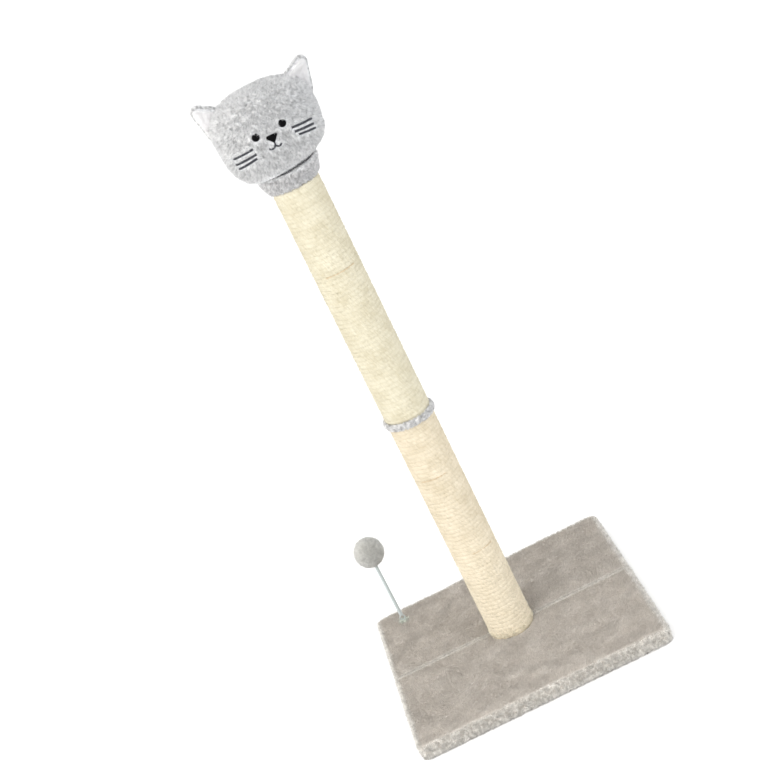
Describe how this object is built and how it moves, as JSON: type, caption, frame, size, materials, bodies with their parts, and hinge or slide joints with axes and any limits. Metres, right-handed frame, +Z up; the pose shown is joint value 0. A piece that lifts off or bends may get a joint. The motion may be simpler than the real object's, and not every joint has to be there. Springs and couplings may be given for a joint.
{
  "type": "cat scratching post",
  "caption": "Tall rope-wound scratching post on a square plush-covered base, with a plush cat's head on top and a pompom on a spring at one rear corner.",
  "frame": {"origin": "on the floor, under the middle of the square base", "axes": "+Z up, +X to the viewer's right, the cat's face looks along -Y"},
  "size_m": [0.35, 0.35, 0.8431],
  "materials": {
    "base_plush": "short warm grey plush",
    "head_plush": "short light grey plush",
    "collar_plush": "short light grey plush",
    "ear_lining": "short white plush",
    "sisal": "twisted sisal rope",
    "board": "raw fibreboard",
    "paper_tube": "spiral-wound paper tube",
    "plug": "turned softwood",
    "rubber": "matt",
    "steel": "zinc-plated",
    "black_plastic": "glossy black",
    "white_plastic": "natural white",
    "spring_wire": "bright galvanised wire",
    "pompom": "fluffy grey pompom"
  },
  "bodies": {
    "stand": {"base_board": "board", "base_plush_front": "base_plush", "base_plush_back": "base_plush", "base_bolt": "steel", "base_washer": "steel", "foot_front_left": "rubber", "foot_front_right": "rubber", "foot_back_left": "rubber", "foot_back_right": "rubber", "lower_tube": "paper_tube", "lower_rope": "sisal", "lower_bottom_plug": "plug", "lower_bottom_insert": "steel", "lower_top_plug": "plug", "lower_top_insert": "steel", "upper_tube": "paper_tube", "upper_rope": "sisal", "upper_bottom_plug": "plug", "upper_bottom_insert": "steel", "upper_top_plug": "plug", "upper_top_insert": "steel", "joining_stud": "steel", "joint_collar": "collar_plush", "neck": "head_plush", "neck_disc": "plug", "head_bolt": "steel", "head": "head_plush", "ear_left": "head_plush", "ear_right": "head_plush", "ear_lining_left": "ear_lining", "ear_lining_right": "ear_lining", "eye_left": "black_plastic", "eye_right": "black_plastic", "eye_washer_left": "white_plastic", "eye_washer_right": "white_plastic", "nose": "black_plastic", "nose_washer": "white_plastic", "toy_anchor": "spring_wire"},
    "spring": {"toy_spring": "spring_wire"},
    "ball": {"ball_plug": "white_plastic", "toy_ball": "pompom"}
  },
  "joints": [
    {"name": "toy_sway_side", "type": "hinge", "parent": "stand", "child": "spring", "pos_m": [-0.136, 0.141, 0.062], "axis": [0, 1, 0], "range_deg": [-60, 60], "stiffness_Nm_per_rad": 0.08, "deforming": ["toy_spring"]},
    {"name": "toy_sway_front", "type": "hinge", "parent": "spring", "child": "ball", "pos_m": [-0.136, 0.141, 0.103], "axis": [1, 0, 0], "range_deg": [-60, 60], "stiffness_Nm_per_rad": 0.08, "deforming": ["toy_spring"]}
  ]
}
